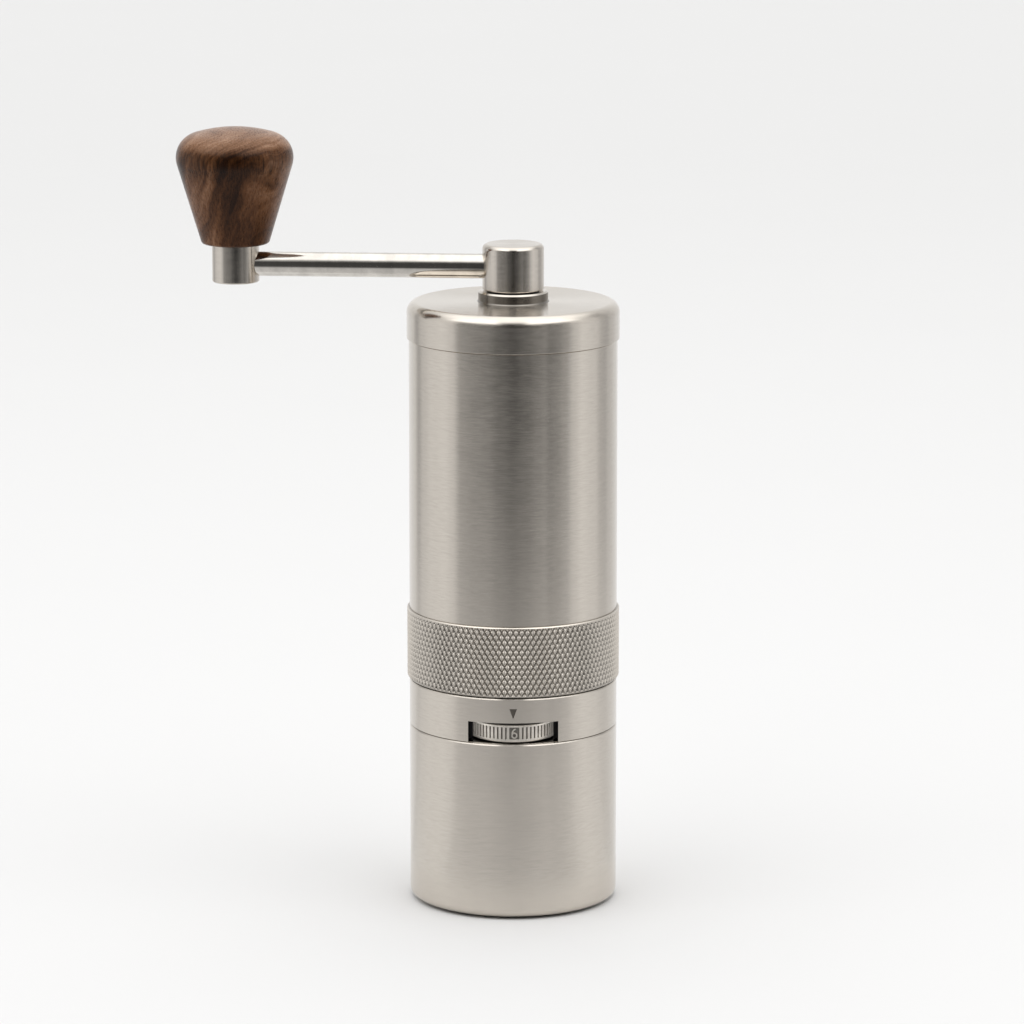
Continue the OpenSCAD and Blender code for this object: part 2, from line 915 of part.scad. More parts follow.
catch_cup();
cup_foot();
collar();
cup_seal();
index_mark();
grip_ring();
body_tube();
adjust_wheel();
wheel_pinion();
wheel_bush();
wheel_axle();
wheel_washer();
detent_plunger();
gear_case();
case_screw();
bridge();
bridge_screws();
adjuster_screw();
adjuster_gear();
thrust_ball();
burr_carrier();
outer_burr();
clamp_ring();
clamp_screws();
drive_shaft();
inner_burr();
burr_washer();
burr_nut();
spring_seat();
preload_spring();
shaft_circlip();
lower_spider();
lower_bearing();
upper_spider();
upper_bearing();
spider_snap_ring();
lid_shell();
lid_bush();
bush_nut();
lid_seal();
crank_hub();
hub_washer();
hub_circlip();
crank_rod();
crank_post();
knob_washer();
knob_insert();
knob_snap_ring();
wood_knob();
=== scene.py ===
"""Hand crank coffee grinder: the looks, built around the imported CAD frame.

Shapes are worked out in millimetres and handed to Blender in metres. Every visible piece takes its size and
place from the CAD node that it stands for.
"""

import json
import math

import bmesh
import bpy
import numpy as np
from mathutils import Matrix, Vector


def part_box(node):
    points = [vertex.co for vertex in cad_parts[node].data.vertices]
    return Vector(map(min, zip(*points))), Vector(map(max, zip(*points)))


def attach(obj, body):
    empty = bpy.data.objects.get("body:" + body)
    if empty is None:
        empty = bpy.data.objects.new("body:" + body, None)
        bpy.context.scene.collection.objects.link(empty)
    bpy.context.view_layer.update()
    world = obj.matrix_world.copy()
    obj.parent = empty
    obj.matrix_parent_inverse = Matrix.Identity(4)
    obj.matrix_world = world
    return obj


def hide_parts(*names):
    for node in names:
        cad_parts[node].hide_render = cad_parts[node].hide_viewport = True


MM = 0.001
SEGMENTS = 256

# ---------------------------------------------------------------- the frame

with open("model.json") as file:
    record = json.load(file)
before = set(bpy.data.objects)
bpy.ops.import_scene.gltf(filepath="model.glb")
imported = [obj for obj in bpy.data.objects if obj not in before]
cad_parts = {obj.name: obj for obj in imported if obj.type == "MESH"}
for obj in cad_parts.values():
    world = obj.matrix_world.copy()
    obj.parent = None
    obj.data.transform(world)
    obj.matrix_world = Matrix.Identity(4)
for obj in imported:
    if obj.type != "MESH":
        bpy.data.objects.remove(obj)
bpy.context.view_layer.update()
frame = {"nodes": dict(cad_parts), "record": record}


def span(node):
    """Lowest and highest corner of a CAD node, in millimetres."""
    low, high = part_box(node)
    return low / MM, high / MM


def radius(node):
    """Largest radius of an upright round CAD node, in millimetres."""
    low, high = span(node)
    return (high.x - low.x) / 2


def axis_of(node):
    """Where an upright round CAD node's axis stands, in millimetres."""
    low, high = span(node)
    return ((low.x + high.x) / 2, (low.y + high.y) / 2)


# ---------------------------------------------------------------- mesh helpers


def rounded(corners, closed=True):
    """Points (r, z, normal r, normal z) of an outline given by corners (r, z, rounding).

    The outline is walked with the solid on its left, so up on an outside wall. Where it isn't closed, its two
    ends lie on the axis.
    """
    count = len(corners)
    points = []
    for i, (r, z, rounding) in enumerate(corners):
        here = np.array([r, z], float)
        before = np.array(corners[i - 1][:2], float)
        after = np.array(corners[(i + 1) % count][:2], float)
        come = (here - before) / max(np.linalg.norm(here - before), 1e-9)
        go = (after - here) / max(np.linalg.norm(after - here), 1e-9)
        if not closed and i == 0:
            points.append((r, z, 0.0, math.copysign(1.0, -go[0])))
            continue
        if not closed and i == count - 1:
            points.append((r, z, 0.0, math.copysign(1.0, -come[0])))
            continue
        bend = math.atan2(come[0] * go[1] - come[1] * go[0], come @ go)
        start = here - come * rounding * math.tan(abs(bend) / 2)
        normal = np.array([come[1], -come[0]])
        side = 1.0 if bend > 0 else -1.0
        centre = start - normal * rounding * side
        step = 9 if rounding >= 0.8 else 30
        steps = max(2, math.ceil(abs(bend) / math.radians(step)))
        for k in range(steps + 1):
            a = bend * k / steps
            turned = np.array(
                [
                    normal[0] * math.cos(a) - normal[1] * math.sin(a),
                    normal[0] * math.sin(a) + normal[1] * math.cos(a),
                ]
            )
            place = centre + turned * rounding * side
            points.append((place[0], place[1], turned[0], turned[1]))
    return points


def with_normals(points):
    """Adds smooth normals to the (r, z) points of an open curve that bulges to its right."""
    curve = np.array(points, float)
    slope = np.gradient(curve, axis=0)
    slope /= np.linalg.norm(slope, axis=1)[:, None]
    return [(r, z, t[1], -t[0]) for (r, z), t in zip(points, slope)]


def ellipse(cx, cy, rx, ry, start, stop, steps):
    """Points on an ellipse between two angles in degrees."""
    turns = [math.radians(start + (stop - start) * k / steps) for k in range(steps + 1)]
    return [(cx + rx * math.cos(t), cy + ry * math.sin(t)) for t in turns]


def arc_points(cx, cy, r, start, stop, steps):
    """Points on an arc between two angles in degrees."""
    return ellipse(cx, cy, r, r, start, stop, steps)


def add_object(name, data):
    """A new object in the scene."""
    obj = bpy.data.objects.new(name, data)
    bpy.context.collection.objects.link(obj)
    return obj


def make_object(name, verts, faces, place=(0, 0), normals=None, smooth_angle=30):
    """A mesh object from vertices in millimetres, with its origin on the axis at place."""
    mesh = bpy.data.meshes.new(name)
    mesh.from_pydata([Vector(v) * MM for v in verts], [], faces)
    mesh.shade_smooth()
    if normals is not None:
        mesh.normals_split_custom_set_from_vertices(normals)
    elif smooth_angle:
        mesh.set_sharp_from_angle(angle=math.radians(smooth_angle))
    obj = add_object(name, mesh)
    obj.location = (place[0] * MM, place[1] * MM, 0)
    return obj


def lathe_data(outline, closed=True, segments=SEGMENTS):
    """Vertices, faces and normals of an outline turned about the Z axis."""
    verts, normals, rows = [], [], []
    angles = [2 * math.pi * s / segments for s in range(segments)]
    for r, z, nr, nz in outline:
        if r < 1e-6:
            rows.append([len(verts)] * segments)
            verts.append((0, 0, z))
            normals.append((0, 0, nz))
            continue
        rows.append(list(range(len(verts), len(verts) + segments)))
        verts += [(r * math.cos(a), r * math.sin(a), z) for a in angles]
        normals += [(nr * math.cos(a), nr * math.sin(a), nz) for a in angles]
    if closed:
        rows.append(rows[0])
    faces = []
    for low, high in zip(rows, rows[1:]):
        for s in range(segments):
            n = (s + 1) % segments
            corners = [low[s], low[n], high[n], high[s]]
            face = [v for k, v in enumerate(corners) if v != corners[k - 1]]
            if len(face) > 2:
                faces.append(face)
    return verts, faces, normals


def lathe(name, corners, place=(0, 0), closed=True, segments=SEGMENTS):
    """A turned piece from rounded corners."""
    verts, faces, normals = lathe_data(rounded(corners, closed), closed, segments)
    return make_object(name, verts, faces, place, normals)


def dress(obj, body, slot, material, *nodes):
    """Gives a piece its material and its body, and hides the CAD nodes that it stands for. The slot is not
    used.
    """
    obj.data.materials.clear()
    obj.data.materials.append(material)
    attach(obj, body)
    if nodes:
        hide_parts(*nodes)


def turn_outward(obj):
    """Makes all faces of a mesh look outward."""
    mesh = bmesh.new()
    mesh.from_mesh(obj.data)
    bmesh.ops.recalc_face_normals(mesh, faces=mesh.faces[:])
    mesh.to_mesh(obj.data)
    mesh.free()


def prism(name, outline, y0, y1):
    """A plain prism along Y over an outline of (x, z) points."""
    count = len(outline)
    verts = [(x, y, z) for y in (y0, y1) for x, z in outline]
    faces = [tuple(range(count)), tuple(range(count, 2 * count))]
    faces += [(k, (k + 1) % count, count + (k + 1) % count, count + k) for k in range(count)]
    obj = make_object(name, verts, faces, smooth_angle=None)
    turn_outward(obj)
    return obj


def apply_modifiers(obj):
    """Turns an object's modifiers into its own mesh."""
    graph = bpy.context.evaluated_depsgraph_get()
    mesh = bpy.data.meshes.new_from_object(obj.evaluated_get(graph))
    obj.modifiers.clear()
    obj.data = mesh


def cut(obj, cutter):
    """Takes the cutter's volume out of obj and deletes the cutter."""
    boolean = obj.modifiers.new("cut", "BOOLEAN")
    boolean.operation = "DIFFERENCE"
    boolean.solver = "EXACT"
    boolean.object = cutter
    apply_modifiers(obj)
    bpy.data.objects.remove(cutter)


def smooth_around(obj):
    """Shades a turned piece with cuts in it: its turned walls stay round, its cut faces flat."""
    mesh = obj.data
    normals = [Vector()] * len(mesh.loops)
    for face in mesh.polygons:
        n = face.normal
        out = Vector((face.center.x, face.center.y, 0)).normalized()
        sideways = n.cross(out).z
        turned = abs(sideways) < 0.05 and abs(n.z) < 0.99
        for loop in face.loop_indices:
            place = mesh.vertices[mesh.loops[loop].vertex_index].co
            radial = Vector((place.x, place.y, 0)).normalized()
            normals[loop] = n.copy()
            if turned:
                normals[loop] = (radial * n.dot(out) + Vector((0, 0, n.z))).normalized()
    mesh.shade_smooth()
    mesh.normals_split_custom_set(normals)


# ---------------------------------------------------------------- material helpers


class Tree:
    """A short way to write a node tree."""

    def __init__(self, owner):
        owner.use_nodes = True
        self.tree = owner.node_tree
        self.tree.nodes.clear()

    def add(self, kind, inputs=None, **settings):
        node = self.tree.nodes.new(kind)
        for key, value in settings.items():
            setattr(node, key, value)
        for key, value in (inputs or {}).items():
            self.put(value, node.inputs[key])
        return node

    def put(self, value, socket):
        """Links a node's output to a socket, or sets the socket to a plain value."""
        if isinstance(value, bpy.types.NodeSocket):
            self.tree.links.new(value, socket)
        else:
            socket.default_value = value

    def math(self, operation, a, b=0.0):
        return self.add("ShaderNodeMath", {0: a, 1: b}, operation=operation).outputs[0]

    def vector(self, x, y, z=0.0):
        return self.add("ShaderNodeCombineXYZ", {0: x, 1: y, 2: z}).outputs[0]

    def divided(self, parts, lengths):
        """A vector of three numbers, each divided by its own length."""
        return self.vector(*(self.math("DIVIDE", part, length) for part, length in zip(parts, lengths)))

    def split(self, vector):
        return self.add("ShaderNodeSeparateXYZ", {0: vector}).outputs

    def length(self, vector):
        return self.add("ShaderNodeVectorMath", {0: vector}, operation="LENGTH").outputs["Value"]

    def mix(self, factor, a, b):
        """Blend of two numbers."""
        values = {"Factor": factor, "A": a, "B": b}
        return self.add("ShaderNodeMix", values, data_type="FLOAT").outputs["Result"]

    def multiply(self, share, a, b):
        """Colour a darkened by colour b, by a share."""
        values = {"Factor": share, 6: a, 7: b}
        return self.add("ShaderNodeMix", values, data_type="RGBA", blend_type="MULTIPLY").outputs[2]

    def noise(self, vector, scale=1.0, detail=3.0, roughness=0.55):
        values = {"Vector": vector, "Scale": scale, "Detail": detail, "Roughness": roughness}
        return self.add("ShaderNodeTexNoise", values).outputs["Fac"]

    def ramp(self, fac, stops, interpolation="LINEAR"):
        """Colour ramp; a stop's colour is a triple, or one number for a grey."""
        node = self.add("ShaderNodeValToRGB", {"Fac": fac})
        band = node.color_ramp
        band.interpolation = interpolation
        band.elements.remove(band.elements[-1])
        for k, (place, colour) in enumerate(stops):
            element = band.elements[0] if k == 0 else band.elements.new(place)
            element.position = place
            element.color = (*(colour if isinstance(colour, tuple) else (colour,) * 3), 1)
        return node.outputs["Color"]

    def map_range(self, value, low, high, to_low, to_high, interpolation="LINEAR"):
        values = {"Value": value, "From Min": low, "From Max": high, "To Min": to_low, "To Max": to_high}
        node = self.add("ShaderNodeMapRange", values, interpolation_type=interpolation)
        return node.outputs["Result"]


class Look(Tree):
    """A material with one Principled shader."""

    def __init__(self, name):
        self.material = bpy.data.materials.new(name)
        super().__init__(self.material)
        self.shader = self.add("ShaderNodeBsdfPrincipled")
        self.add("ShaderNodeOutputMaterial", {"Surface": self.shader.outputs["BSDF"]})

    def set(self, **values):
        for key, value in values.items():
            self.put(value, self.shader.inputs[key.replace("_", " ")])

    def bump(self, height, strength, distance_mm, under=None):
        values = {"Height": height, "Strength": strength, "Distance": distance_mm * MM}
        if under is not None:
            values["Normal"] = under
        return self.add("ShaderNodeBump", values).outputs["Normal"]

    def place_mm(self):
        """Object coordinates in millimetres."""
        coords = self.add("ShaderNodeTexCoord").outputs["Object"]
        return self.add("ShaderNodeVectorMath", {0: coords, "Scale": 1 / MM}, operation="SCALE").outputs[0]


def brush_lines(look, line_length, line_width, sway):
    """Noise drawn out into lines around the Z axis, on walls and on end faces alike."""
    place = look.place_mm()
    x, y, z = look.split(place)
    across = look.math("ADD", z, look.length(look.vector(x, y)))
    wander = look.noise(place, scale=0.11, detail=2.0)
    across = look.math("ADD", across, look.math("MULTIPLY", wander, sway))
    drawn_out = look.divided((x, y, across), (line_length, line_length, line_width))
    return look.noise(drawn_out, detail=2.0, roughness=0.5)


def shade_painted_within(look, colour, inner, outer, share):
    """A colour that falls to a share of itself between two radii about the Z axis: painted shade.

    It falls inwards from outer to inner, or outwards where inner is the larger of the two.
    """
    x, y, z = look.split(look.place_mm())
    shade = look.map_range(look.length(look.vector(x, y)), inner, outer, share, 1.0, "SMOOTHSTEP")
    grey = look.add("ShaderNodeCombineColor", {0: shade, 1: shade, 2: shade}).outputs[0]
    return look.multiply(1.0, colour, grey)


def brushed_metal(name, colour, roughness, grain=1.0, anisotropic=0.9, dark=None):
    """Steel brushed around its own Z axis: fine lines in height, roughness and colour, and faint clouds.

    With dark = (inner, outer, share), shade is painted in: the metal darkens to a share of its colour between
    two radii.
    """
    look = Look(name)
    fine = brush_lines(look, line_length=2.6, line_width=0.20, sway=0.8)
    broad = brush_lines(look, line_length=7.0, line_width=0.45, sway=1.5)
    cloud = look.noise(look.place_mm(), scale=0.12, detail=3.0)
    lines = look.math("ADD", look.math("MULTIPLY", fine, 0.75), look.math("MULTIPLY", broad, 0.25))
    low_tint = tuple(c * (1 - 0.06 * grain) for c in colour)
    high_tint = tuple(min(c * (1 + 0.04 * grain), 1.0) for c in colour)
    rough = look.math(
        "ADD",
        look.map_range(lines, 0.34, 0.66, roughness - 0.03 * grain, roughness + 0.03 * grain),
        look.map_range(cloud, 0.35, 0.65, -0.015, 0.015),
    )
    tint = look.ramp(lines, [(0.36, low_tint), (0.5, colour), (0.64, high_tint)])
    if dark:
        tint = shade_painted_within(look, tint, *dark)
    look.set(
        Base_Color=tint,
        Metallic=1.0,
        Roughness=rough,
        Anisotropic=anisotropic,
        Anisotropic_Rotation=0.25,
        Tangent=look.add("ShaderNodeTangent", direction_type="RADIAL", axis="Z").outputs[0],
        Normal=look.bump(lines, 0.20 * grain, 0.010),
    )
    return look.material


def plain_metal(name, colour, roughness, grain_mm=0.4, bump=0.15):
    """Machined, ground or plated metal with a fine grain and slight tarnish."""
    look = Look(name)
    place = look.place_mm()
    grain = look.noise(place, scale=1 / grain_mm, detail=5.0, roughness=0.65)
    cloud = look.noise(place, scale=0.25, detail=3.0)
    dark = tuple(c * 0.82 for c in colour)
    look.set(
        Base_Color=look.ramp(cloud, [(0.35, dark), (0.65, colour)]),
        Metallic=1.0,
        Roughness=look.map_range(grain, 0.3, 0.7, roughness * 0.8, roughness * 1.25),
        Normal=look.bump(grain, bump, 0.01),
    )
    return look.material


def milled_metal(name, colour, roughness, floor_r, land_r):
    """Milled metal with painted shade in its slots, between the radii of their floors and of the lands."""
    look = Look(name)
    place = look.place_mm()
    grain = look.noise(place, scale=4.0, detail=4.0, roughness=0.65)
    cloud = look.noise(place, scale=0.5, detail=3.0)
    worn = look.ramp(cloud, [(0.35, tuple(c * 0.86 for c in colour)), (0.65, colour)])
    look.set(
        Base_Color=shade_painted_within(look, worn, floor_r, land_r, 0.36),
        Metallic=1.0,
        Roughness=look.map_range(grain, 0.3, 0.7, roughness - 0.05, roughness + 0.05),
        Normal=look.bump(grain, 0.05, 0.01),
    )
    return look.material


def soft_matter(name, colour, roughness, grain_mm=0.25, bump=0.2):
    """Moulded plastic or rubber: a fine sparked grain and faint handling marks."""
    look = Look(name)
    place = look.place_mm()
    grain = look.noise(place, scale=1 / grain_mm, detail=4.0, roughness=0.6)
    marks = look.noise(place, scale=0.35, detail=4.0, roughness=0.7)
    light = tuple(min(c * 1.5 + 0.01, 1) for c in colour)
    look.set(
        Base_Color=look.ramp(marks, [(0.4, colour), (0.75, light)]),
        Roughness=look.map_range(marks, 0.3, 0.7, roughness - 0.08, roughness + 0.08),
        Normal=look.bump(grain, bump, 0.02),
    )
    return look.material


def walnut_tone(look, fibre, shoulder):
    """How light the wood is: a dark heart streak, slanting figure, lighter towards both sides, a painted dark
    reflection on the shoulder and a painted sheen on the crown.
    """
    place = look.place_mm()
    x, y, z = look.split(place)
    top = span("wood_knob")[1].z
    slow = look.noise(place, scale=0.07, detail=2.0)
    sway = look.math("MULTIPLY", look.math("SUBTRACT", slow, 0.5), 14.0)
    bow = look.math("MULTIPLY", look.math("MULTIPLY", y, y), 0.030)

    def leaning(degrees):
        """Coordinates across and along lines that lean to the right of the upright by an angle."""
        cos, sin = math.cos(math.radians(degrees)), math.sin(math.radians(degrees))
        across = look.math("SUBTRACT", look.math("MULTIPLY", x, cos), look.math("MULTIPLY", z, sin))
        along = look.math("ADD", look.math("MULTIPLY", x, sin), look.math("MULTIPLY", z, cos))
        return look.math("ADD", look.math("ADD", across, bow), sway), along

    across, along = leaning(36)

    def drawn_out(width, length, depth):
        """Noise drawn out along the leaning lines."""
        vector = look.divided((across, along, y), (width, length, depth))
        return look.noise(vector, detail=2.0, roughness=0.6)

    figure = drawn_out(3.4, 30.0, 16.0)
    rings = drawn_out(0.95, 26.0, 9.0)

    heart_lean = 6
    heart_height = top - 14.3
    heart_shift = heart_height * math.sin(math.radians(heart_lean)) - 4.7
    from_heart = look.math("ABSOLUTE", look.math("ADD", leaning(heart_lean)[0], heart_shift))
    heart = look.map_range(from_heart, 1.0, 7.8, 1.0, 0.0, "SMOOTHSTEP")
    heart = look.math("MULTIPLY", heart, look.map_range(y, -8.0, 2.0, 0.125, 0.05))
    # The wood grows lighter towards its left and its right side.
    lighter_to_left = look.map_range(x, -9.0, 1.0, 0.025, 0.0)
    lighter_to_right = look.map_range(x, 5.0, 10.0, 0.0, 0.06)
    # Painted sheen: the crown is lighter, more so to the right.
    crown_sheen = look.map_range(x, -4.0, 6.0, 0.155, 0.26)
    crown = look.map_range(z, top - 5.7, top - 2.7, 0.0, crown_sheen, "SMOOTHSTEP")
    parts = [
        look.math("MULTIPLY", figure, 0.50),
        look.math("MULTIPLY", rings, 0.28),
        look.math("MULTIPLY", fibre, 0.26),
        look.math("ADD", lighter_to_left, lighter_to_right),
        crown,
        # Painted dark reflection along the shoulder band, turning to a faint painted sheen at the right.
        look.math("MULTIPLY", shoulder, look.map_range(x, 2.0, 8.0, -0.05, 0.02)),
        look.math("MULTIPLY", heart, -1.0),
    ]
    tone = 0.045
    for part in parts:
        tone = look.math("ADD", part, tone)
    return tone


def walnut():
    """Oiled walnut: its tone, upright fibres, dark pores and a satin finish."""
    look = Look("walnut")
    x, y, z = look.split(look.place_mm())
    top = span("wood_knob")[1].z
    upright = look.divided((x, y, z), (0.42, 0.42, 7.0))
    fibre = look.noise(upright, detail=3.0, roughness=0.7)
    pores = look.noise(upright, scale=2.1, detail=1.0)
    streak = look.noise(upright, scale=0.7, detail=1.0)
    shoulder = look.math(
        "MULTIPLY",
        look.map_range(z, top - 12.8, top - 8.8, 0.0, 1.0, "SMOOTHSTEP"),
        look.map_range(z, top - 6.3, top - 3.8, 1.0, 0.0, "SMOOTHSTEP"),
    )
    colour = look.ramp(
        walnut_tone(look, fibre, shoulder),
        [
            (0.36, (0.018, 0.0050, 0.0008)),
            (0.49, (0.054, 0.0180, 0.0040)),
            (0.59, (0.108, 0.0420, 0.0145)),
            (0.74, (0.235, 0.1200, 0.0640)),
            (0.86, (0.370, 0.2200, 0.1400)),
        ],
    )
    pit = look.ramp(pores, [(0.33, 0.0), (0.45, 1.0)])
    shoulder_pores = look.math("MULTIPLY", shoulder, look.map_range(streak, 0.38, 0.56, 1.3, 0.2))
    pit = look.math("SUBTRACT", pit, shoulder_pores)
    look.set(
        Base_Color=look.multiply(0.35, colour, pit),
        Roughness=look.map_range(fibre, 0.3, 0.7, 0.24, 0.34),
        Specular_IOR_Level=0.18,
        Normal=look.bump(fibre, 0.15, 0.03, look.bump(pit, 0.15, 0.03)),
    )
    return look.material


# Sizes that shapes and materials share, in millimetres, and the two tints of steel
WALL = 1.5
KNURL_DEPTH = 0.36
RIB_DEPTH = 0.36
STEEL = (0.640, 0.592, 0.531)
WARM_STEEL = (0.610, 0.565, 0.510)
TUBE_R = radius("body_tube")
GRIP_R = radius("grip_ring")
BUSH_R = radius("lid_bush")
WHEEL_R = radius("adjust_wheel")

BRUSHED = brushed_metal("brushed_steel", STEEL, roughness=0.20, grain=0.75)
TURNED = brushed_metal("turned_steel", WARM_STEEL, roughness=0.19, grain=0.8, anisotropic=0.7)
# Painted shade darkens the knurl's grooves.
KNURLED = brushed_metal(
    "knurled_steel",
    (0.725, 0.673, 0.606),
    roughness=0.28,
    grain=0.3,
    anisotropic=0.0,
    dark=(GRIP_R - KNURL_DEPTH, GRIP_R - 0.14, 0.52),
)
# Painted shade and a painted dark reflection darken the bush's side wall, under the hub.
BUSH = brushed_metal(
    "bush_steel",
    WARM_STEEL,
    roughness=0.19,
    grain=0.8,
    anisotropic=0.3,
    dark=(BUSH_R - 0.02, BUSH_R - 0.10, 0.38),
)
# Painted shade darkens the collar's inner walls.
BORE_SHADED = brushed_metal(
    "bore_steel_painted_shade",
    STEEL,
    roughness=0.20,
    grain=0.75,
    dark=(TUBE_R - 1.8, TUBE_R - 1.1, 0.10),
)
POLISHED = plain_metal("polished_steel", (0.70, 0.665, 0.615), roughness=0.10, grain_mm=0.4, bump=0.004)
# Painted shade darkens the thumbwheel's slots and pockets.
MILLED = milled_metal(
    "milled_steel",
    (0.74, 0.70, 0.64),
    roughness=0.55,
    floor_r=WHEEL_R - RIB_DEPTH + 0.04,
    land_r=WHEEL_R - 0.10,
)
BURR = plain_metal("burr_steel", (0.30, 0.30, 0.31), roughness=0.34)
BEARING = plain_metal("bearing_steel", (0.66, 0.66, 0.67), roughness=0.16, grain_mm=0.8, bump=0.05)
BLACK_STEEL = plain_metal("black_steel", (0.055, 0.055, 0.06), roughness=0.36)
ANODISED = plain_metal("dark_aluminium", (0.17, 0.17, 0.18), roughness=0.38)
BRASS = plain_metal("brass", (0.70, 0.50, 0.22), roughness=0.24)
RUBBER = soft_matter("rubber", (0.018, 0.018, 0.020), roughness=0.62)
PLASTIC = soft_matter("black_plastic", (0.022, 0.022, 0.024), roughness=0.45)
PAINT = soft_matter("mark_paint", (0.062, 0.051, 0.040), roughness=0.60, grain_mm=0.12)
WALNUT = walnut()

SLOT_LOOK = {
    "brushed_steel": BRUSHED,
    "turned_steel": TURNED,
    "knurled_steel": KNURLED,
    "polished_steel": POLISHED,
    "burr_steel": BURR,
    "bearing_steel": BEARING,
    "black_steel": BLACK_STEEL,
    "dark_aluminium": ANODISED,
    "brass": BRASS,
    "rubber": RUBBER,
    "black_plastic": PLASTIC,
    "mark_paint": PAINT,
    "walnut": WALNUT,
}


def dress_cad_nodes():
    """Gives every carried-over CAD node the look of its material slot."""
    for part in frame["record"]["subparts"]:
        mesh = frame["nodes"][part["node"]].data
        mesh.materials.clear()
        mesh.materials.append(SLOT_LOOK[part["material_slot"]])


# ---------------------------------------------------------------- the body, from the table up


def make_cup():
    """The cup: its rim steps in to make the dark seam below the collar."""
    low, high = span("catch_cup")
    r = radius("catch_cup")
    seam_r = r - 0.9
    seam_z = high.z - 0.11
    pad_r = radius("cup_foot")
    pad_top = span("cup_foot")[1].z
    floor = low.z + 2.0
    cup = lathe(
        "cup_shell",
        [
            (0, pad_top, 0),
            (pad_r, pad_top, 0.05),
            (pad_r, low.z, 0.15),
            (r, low.z, 1.8),
            (r, high.z - 0.42, 0.04),
            (r - 0.16, seam_z, 0.04),
            (seam_r, seam_z, 0.03),
            (seam_r, high.z, 0.03),
            (r - WALL, high.z, 0.2),
            (r - WALL, floor, 1.8),
            (0, floor, 0),
        ],
        closed=False,
    )
    dress(cup, "cup", "brushed_steel", BRUSHED, "catch_cup")


def make_foot_pad():
    """The thin pad that the cup stands on."""
    r = radius("cup_foot")
    top = span("cup_foot")[1].z
    pad = lathe("foot_pad", [(0, 0, 0), (r, 0, 0.35), (r, top, 0.05), (0, top, 0)], closed=False)
    dress(pad, "cup", "rubber", RUBBER, "cup_foot")


def make_tube():
    """The tube: thinner where the grip ring sits on it, with a groove for the spider's snap ring."""
    low, high = span("body_tube")
    grip_top = span("grip_ring")[1].z
    r = TUBE_R
    neck = r - 0.5
    bore = r - WALL
    groove = bore + 0.5
    snap_low, snap_high = span("spider_snap_ring")
    tube = lathe(
        "tube_shell",
        [
            (bore, low.z, 0.1),
            (neck, low.z, 0.1),
            (neck, grip_top, 0.02),
            (r, grip_top, 0.02),
            (r, high.z, 0.12),
            (bore, high.z, 0.3),
            (bore, snap_high.z, 0.05),
            (groove, snap_high.z, 0.05),
            (groove, snap_low.z, 0.05),
            (bore, snap_low.z, 0.05),
        ],
    )
    dress(tube, "casing", "brushed_steel", BRUSHED, "body_tube")


def seal_groove(plug_r, z):
    """Corners of an O-ring groove in the wall of a plug, upwards from z."""
    floor_r, top = plug_r - 1.15, z + 1.6
    return [(plug_r, z, 0.05), (floor_r, z, 0.05), (floor_r, top, 0.05), (plug_r, top, 0.05)]


def make_collar():
    """The collar: a turned ring with the window and the engraved pointer cut in its front."""
    low, high = span("collar")
    r = radius("collar")
    mark_low, mark_high = span("index_mark")
    shoulder = span("adjust_wheel")[0].z - 0.4
    grip_low = span("grip_ring")[0].z
    top = grip_low - 0.4
    ledge = span("bridge")[1].z
    plug_r = r - 1.55
    plug_bore, throat, gear_room = 21.0, 18.5, 22.3
    outline = rounded(
        [
            (plug_bore, low.z, 0.2),
            (plug_r, low.z, 0.4),
            *seal_groove(plug_r, low.z + 1.95),
            (plug_r, shoulder, 0.05),
            (r, shoulder, 0.2),
            (r, top - 0.27, 0.04),
            (r - 0.14, top, 0.04),
            (r - 0.40, top, 0.03),
            (r - 0.40, top - 0.7, 0.03),
            (r - 1.0, top - 0.7, 0.03),
            (r - 1.0, grip_low, 0.05),
            (r - 0.5, grip_low, 0.05),
            (r - 0.5, high.z, 0.05),
            (r - WALL, high.z, 0.1),
            (r - WALL, ledge + 2, 0.05),
            (throat, ledge + 2, 0.1),
            (throat, ledge, 0.1),
            (gear_room, ledge, 0.05),
            (gear_room, shoulder, 0.05),
            (plug_bore, shoulder, 0.1),
        ]
    )
    verts, faces, _ = lathe_data(outline)
    collar = make_object("collar_ring", verts, faces, smooth_angle=None)

    half, window_top, window_back = 10.9, shoulder + 5.25, -14.5
    window = [(-half, shoulder), (half, shoulder), (half, window_top), (-half, window_top)]
    cut(collar, prism("window_cutter", window, -r - 1, window_back))
    pointer = [(mark_low.x, mark_high.z), (mark_high.x, mark_high.z), (0, mark_low.z)]
    engraving = 0.3
    cut(collar, prism("pointer_cutter", pointer, -r - 1, -r + engraving))

    bevel = collar.modifiers.new("edges", "BEVEL")
    bevel.limit_method = "ANGLE"
    bevel.angle_limit = math.radians(50)
    bevel.width = 0.08 * MM
    bevel.segments = 2
    bevel.harden_normals = False
    apply_modifiers(collar)
    smooth_around(collar)
    dress(collar, "casing", "brushed_steel", BORE_SHADED, "collar")


# ---------------------------------------------------------------- the knurled grip

KNURL_STARTS = 116
KNURL_ANGLE = 30  # degrees between the grooves and the axis
# Across one pitch: place as a share of it, and depth in millimetres
KNURL_PROFILE = [(0.0, KNURL_DEPTH), (0.29, 0.02), (0.5, 0.12), (0.71, 0.02)]


